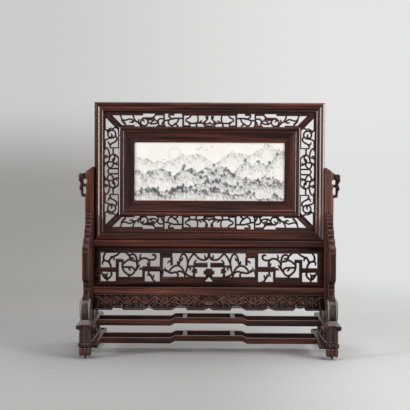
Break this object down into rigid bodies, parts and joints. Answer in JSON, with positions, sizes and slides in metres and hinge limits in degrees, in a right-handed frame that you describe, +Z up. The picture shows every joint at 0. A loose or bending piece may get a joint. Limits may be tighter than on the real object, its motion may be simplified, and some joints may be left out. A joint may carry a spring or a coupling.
{
  "type": "table screen",
  "caption": "Framed ceramic plaque set in pierced fretwork, lifting out of a carved hardwood stand with drums, standing brackets and hump-backed stretchers.",
  "frame": {"origin": "on the table under the middle of the stand", "axes": "+X to the right along the width, +Y to the back, +Z up; the front faces -Y"},
  "size_m": [0.6042, 0.24, 0.576],
  "materials": {
    "dark_wood": "waxed satin, near-black red-brown hardwood",
    "plaque_glaze": "glossy clear glaze over a grey brush painting on white",
    "backing_wood": "plain dull board"
  },
  "bodies": {
    "stand": {"right_front_leg": "dark_wood", "left_front_leg": "dark_wood", "right_rear_leg": "dark_wood", "left_rear_leg": "dark_wood", "right_plank": "dark_wood", "left_plank": "dark_wood", "right_side_rail": "dark_wood", "left_side_rail": "dark_wood", "right_front_drum": "dark_wood", "left_front_drum": "dark_wood", "right_rear_drum": "dark_wood", "left_rear_drum": "dark_wood", "right_post": "dark_wood", "left_post": "dark_wood", "right_ear": "dark_wood", "left_ear": "dark_wood", "right_front_bracket": "dark_wood", "left_front_bracket": "dark_wood", "right_rear_bracket": "dark_wood", "left_rear_bracket": "dark_wood", "upper_rail": "dark_wood", "lower_panel": "dark_wood", "lower_rail": "dark_wood", "front_apron": "dark_wood", "rear_apron": "dark_wood", "upper_front_stretcher": "dark_wood", "upper_rear_stretcher": "dark_wood", "lower_front_stretcher": "dark_wood", "lower_rear_stretcher": "dark_wood", "upper_left_cross_piece": "dark_wood", "upper_right_cross_piece": "dark_wood", "lower_left_cross_piece": "dark_wood", "lower_right_cross_piece": "dark_wood"},
    "screen": {"outer_frame_left": "dark_wood", "outer_frame_right": "dark_wood", "outer_frame_top": "dark_wood", "outer_frame_bottom": "dark_wood", "outer_frame_keys": "dark_wood", "fret_top": "dark_wood", "fret_bottom": "dark_wood", "fret_left": "dark_wood", "fret_right": "dark_wood", "inner_frame_left": "dark_wood", "inner_frame_right": "dark_wood", "inner_frame_top": "dark_wood", "inner_frame_bottom": "dark_wood", "inner_frame_keys": "dark_wood", "plaque": "plaque_glaze", "backing_board": "backing_wood", "back_beads": "dark_wood"}
  },
  "joints": [
    {"name": "screen_lift", "type": "slide", "parent": "stand", "child": "screen", "axis": [0, 0, 1], "range_m": [0, 0.18]}
  ]
}
